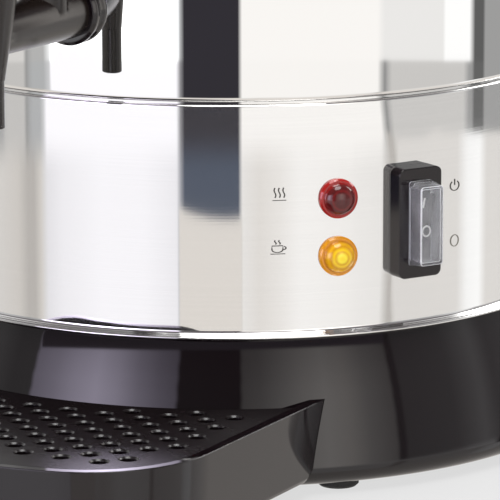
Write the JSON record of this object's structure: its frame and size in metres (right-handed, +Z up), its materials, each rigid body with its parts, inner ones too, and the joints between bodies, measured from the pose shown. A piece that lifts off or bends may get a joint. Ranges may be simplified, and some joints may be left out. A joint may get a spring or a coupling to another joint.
{
  "type": "coffee urn",
  "caption": "Electric coffee urn: mirror steel tank over a satin control band and black base, with lever tap, level gauge, drip tray, lamps, covered switch, lid and brewing set.",
  "frame": {"origin": "on the table under the middle of the round body", "axes": "+Z up, the tap and the drip tray point along -Y, +X to the right when looking along +Y"},
  "size_m": [0.324, 0.3429, 0.4476],
  "materials": {
    "polished_steel": "mirror-polished stainless steel",
    "satin_steel": "fine horizontal brushed stainless steel",
    "plain_steel": "bright zinc or stainless, machined",
    "black_gloss": "glossy black moulded plastic",
    "black_phenolic": "semi-gloss black heat-resistant plastic",
    "black_rubber": "matt black rubber",
    "silicone": "translucent food-grade silicone",
    "gauge_glass": "clear glass tube",
    "clear_silicone": "clear soft splash cover",
    "red_lens": "clear red moulded lens",
    "amber_lens": "clear amber moulded lens",
    "white_plastic": "heat-resistant off-white plastic",
    "aluminium": "rolled aluminium",
    "heater_sheath": "heat-tinted heater sheath",
    "ceramic": "unglazed ceramic",
    "wire_insulation": "silicone-insulated lead"
  },
  "bodies": {
    "urn_body": {"tank": "polished_steel", "control_band": "satin_steel", "base": "black_gloss", "bottom_plate": "plain_steel", "tie_rods": "plain_steel", "tie_nuts": "plain_steel", "rubber_feet": "black_rubber", "tap_flange": "black_gloss", "tap_body": "black_gloss", "tap_seal": "silicone", "tap_nut": "black_phenolic", "tap_bonnet": "black_gloss", "tap_pin": "plain_steel", "tap_spring": "plain_steel", "gauge_seal": "silicone", "gauge_glass": "gauge_glass", "gauge_shield": "black_gloss", "gauge_cap": "black_gloss", "gauge_screw": "plain_steel", "left_handle": "black_phenolic", "right_handle": "black_phenolic", "handle_brackets": "plain_steel", "handle_screws": "plain_steel", "heat_plate": "aluminium", "main_heater": "heater_sheath", "keep_warm_heater": "heater_sheath", "thermostat": "black_phenolic", "thermal_cutout": "ceramic", "sensor_bracket": "plain_steel", "heating_lamp_lens": "red_lens", "keep_warm_lamp_lens": "amber_lens", "heating_lamp_body": "white_plastic", "keep_warm_lamp_body": "white_plastic", "lamp_nuts": "plain_steel", "switch_housing": "black_gloss", "switch_cover": "clear_silicone", "switch_tabs": "plain_steel", "power_inlet": "black_phenolic", "inlet_pins": "plain_steel", "wires": "wire_insulation"},
    "lid_set": {"lid": "polished_steel", "lid_knob": "black_phenolic", "knob_washer": "black_phenolic", "knob_screw": "plain_steel"},
    "pump_set": {"pump_tube": "plain_steel", "pump_foot": "plain_steel"},
    "valve_disc": {"pump_valve": "plain_steel"},
    "basket_set": {"coffee_basket": "aluminium"},
    "basket_top": {"basket_cover": "aluminium"},
    "tray_set": {"drip_tray": "black_gloss", "tray_feet": "black_rubber"},
    "grille_set": {"drip_grille": "black_gloss"},
    "lever_set": {"tap_lever": "black_gloss"},
    "stem_set": {"tap_stem": "plain_steel", "seat_cup": "silicone"},
    "rocker_set": {"switch_rocker": "black_gloss"}
  },
  "joints": [
    {"name": "lid_lift", "type": "slide", "parent": "urn_body", "child": "lid_set", "axis": [0, 0, 1], "range_m": [0, 0.12]},
    {"name": "pump_lift", "type": "slide", "parent": "urn_body", "child": "pump_set", "axis": [0, 0, 1], "range_m": [0, 0.02]},
    {"name": "valve_hop", "type": "slide", "parent": "pump_set", "child": "valve_disc", "axis": [0, 0, 1], "range_m": [0, 0.003]},
    {"name": "basket_lift", "type": "slide", "parent": "pump_set", "child": "basket_set", "axis": [0, 0, 1], "range_m": [0, 0.008]},
    {"name": "cover_lift", "type": "slide", "parent": "basket_set", "child": "basket_top", "axis": [0, 0, 1], "range_m": [0, 0.006]},
    {"name": "tray_slide", "type": "slide", "parent": "urn_body", "child": "tray_set", "axis": [0, -1, 0], "range_m": [0, 0.06]},
    {"name": "grille_lift", "type": "slide", "parent": "tray_set", "child": "grille_set", "axis": [0, 0, 1], "range_m": [0, 0.04]},
    {"name": "tap_lever_pull", "type": "hinge", "parent": "urn_body", "child": "lever_set", "pos_m": [0, -0.17898, 0.205], "axis": [1, 0, 0], "range_deg": [0, 35], "stiffness_Nm_per_rad": 0.03, "springref_deg": -22.92},
    {"name": "tap_stem_lift", "type": "slide", "parent": "urn_body", "child": "stem_set", "axis": [0, 0, 1], "range_m": [0, 0.0038], "deforming": ["tap_spring"]},
    {"name": "switch_rock", "type": "hinge", "parent": "urn_body", "child": "rocker_set", "pos_m": [0.10109, -0.06317, 0.0885], "axis": [-0.5299, -0.848, 0], "range_deg": [0, 16]}
  ],
  "couplings": [
    {"joint": "tap_stem_lift", "follows": "tap_lever_pull", "m_per_rad": 0.00607}
  ]
}
